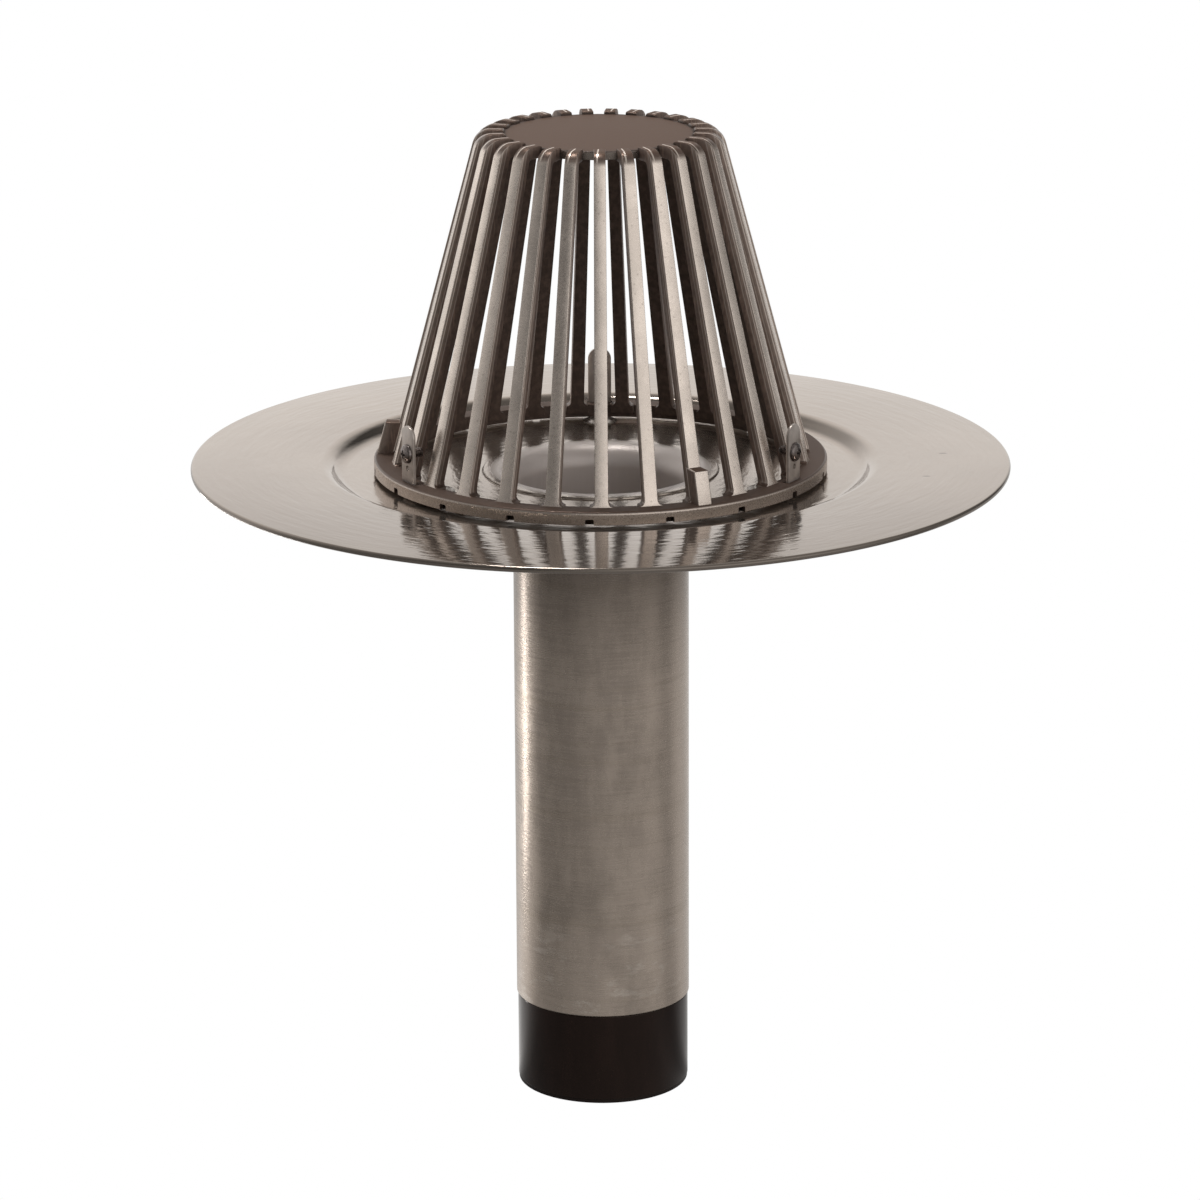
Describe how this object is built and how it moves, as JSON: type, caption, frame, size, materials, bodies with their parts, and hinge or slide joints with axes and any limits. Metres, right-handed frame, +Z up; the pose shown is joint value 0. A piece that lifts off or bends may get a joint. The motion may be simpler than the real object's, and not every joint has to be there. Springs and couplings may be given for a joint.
{
  "type": "flat roof drain",
  "caption": "Retrofit flat roof drain: spun flange and sump with a long stem, ribbed strainer dome held by brackets, and a rubber compression seal at the stem's end.",
  "frame": {"origin": "on the axis, at the bottom of the seal, where the drain stands", "axes": "+Z up along the stem to the strainer dome; -Y is the front, between two of the brackets; +X to the right"},
  "size_m": [0.4444, 0.4444, 0.5372],
  "materials": {
    "spun_aluminium": "spun, glossy on top with faint lathe rings, satin with fine turning lines on the stem",
    "cast_aluminium": "sand cast, fine grain, taupe with worn bright edges",
    "bracket_metal": "satin strip metal",
    "rivet_metal": "satin",
    "dark_screw_steel": "dark oxide",
    "moulded_ring": "semi-gloss black moulding",
    "seal_rubber": "smooth semi-gloss black rubber",
    "insert_brass": "turned",
    "seal_screw_steel": "plated"
  },
  "bodies": {
    "drain": {"drain_body": "spun_aluminium", "bracket_1": "bracket_metal", "bracket_2": "bracket_metal", "bracket_3": "bracket_metal", "bracket_rivet_1": "rivet_metal", "bracket_rivet_2": "rivet_metal", "bracket_rivet_3": "rivet_metal", "retaining_screw_1": "dark_screw_steel", "retaining_screw_2": "dark_screw_steel", "retaining_screw_3": "dark_screw_steel", "seal_upper_ring": "moulded_ring", "seal_sleeve": "seal_rubber", "seal_screw_1": "seal_screw_steel", "seal_screw_2": "seal_screw_steel", "seal_screw_3": "seal_screw_steel"},
    "strainer": {"strainer_dome": "cast_aluminium"},
    "seal_drive": {"seal_lower_ring": "moulded_ring", "seal_insert_1": "insert_brass", "seal_insert_2": "insert_brass", "seal_insert_3": "insert_brass"}
  },
  "joints": [
    {"name": "strainer_lift", "type": "slide", "parent": "drain", "child": "strainer", "axis": [0, 0, 1], "range_m": [0, 0.01]},
    {"name": "seal_tighten", "type": "slide", "parent": "drain", "child": "seal_drive", "axis": [0, 0, 1], "range_m": [0, 0.006], "deforming": ["seal_sleeve"]}
  ]
}
